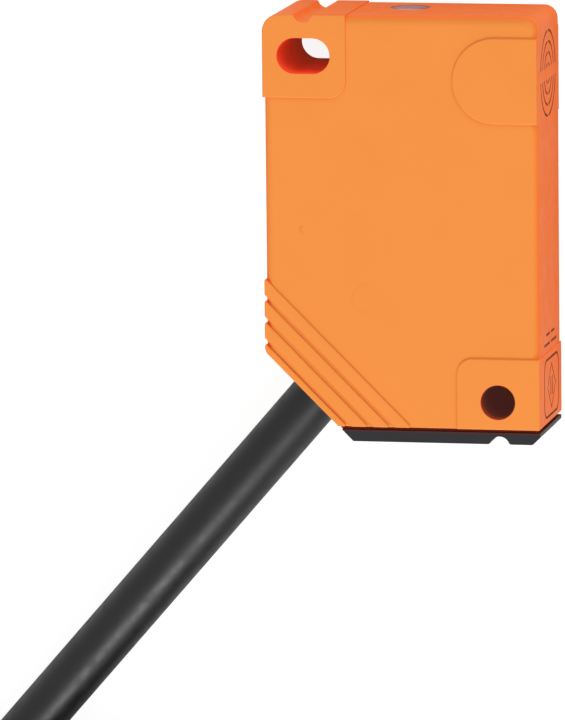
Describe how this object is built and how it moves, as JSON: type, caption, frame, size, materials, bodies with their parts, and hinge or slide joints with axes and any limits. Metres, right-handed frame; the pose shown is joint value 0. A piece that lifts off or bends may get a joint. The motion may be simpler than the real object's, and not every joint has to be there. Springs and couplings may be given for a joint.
{
  "type": "inductive proximity sensor",
  "caption": "Small flat block sensor with side sensing face, status window on the end, slotted and round screw holes, and a fixed cable from a bevelled corner, wound in a tied coil.",
  "frame": {"origin": "middle of the block's outline on its large back face, which is the surface it lies on", "axes": "+X towards the sensing face, +Y along the block's length towards the status window, +Z out of the large front face"},
  "size_m": [0.0813, 0.156, 0.0214],
  "materials": {
    "shell_plastic": "moulded orange polyester, fine matt",
    "cover_plastic": "moulded black polyester, satin",
    "window_plastic": "dark translucent light guide, polished",
    "ferrite": "sintered ferrite, matt grey-black",
    "former_nylon": "natural nylon",
    "enamelled_copper": "enamelled copper wire",
    "board_laminate": "green solder mask on glass laminate",
    "chip_epoxy": "black moulded epoxy with tinned leads",
    "resistor_ceramic": "thick film on ceramic",
    "capacitor_ceramic": "tan ceramic",
    "lamp_resin": "yellow lamp in clear resin",
    "solder": "solder",
    "seal_rubber": "black rubber",
    "crimp_brass": "brass",
    "core_brown": "brown core insulation",
    "core_black": "black core insulation",
    "core_blue": "blue core insulation",
    "cable_jacket": "black polyurethane jacket, satin",
    "tie_nylon": "natural nylon",
    "ferrule_tin": "tinned copper",
    "potting_resin": "dark casting resin"
  },
  "bodies": {
    "root": {"housing_shell": "shell_plastic", "base_cover": "cover_plastic", "led_window": "window_plastic", "ferrite_core": "ferrite", "coil_former": "former_nylon", "coil_winding": "enamelled_copper", "coil_leads": "enamelled_copper", "circuit_board": "board_laminate", "oscillator_ic": "chip_epoxy", "output_transistor": "chip_epoxy", "surge_suppressor": "chip_epoxy", "polarity_diode": "chip_epoxy", "resistors": "resistor_ceramic", "capacitors": "capacitor_ceramic", "indicator_led": "lamp_resin", "solder_joints": "solder", "cable_seal": "seal_rubber", "cable_crimp": "crimp_brass", "conductor_brown": "core_brown", "conductor_black": "core_black", "conductor_blue": "core_blue", "cable_lead": "cable_jacket", "cable_coil": "cable_jacket", "cable_tie": "tie_nylon", "wire_end_brown": "core_brown", "wire_end_black": "core_black", "wire_end_blue": "core_blue", "wire_ferrules": "ferrule_tin", "potting_compound": "potting_resin"}
  },
  "joints": []
}
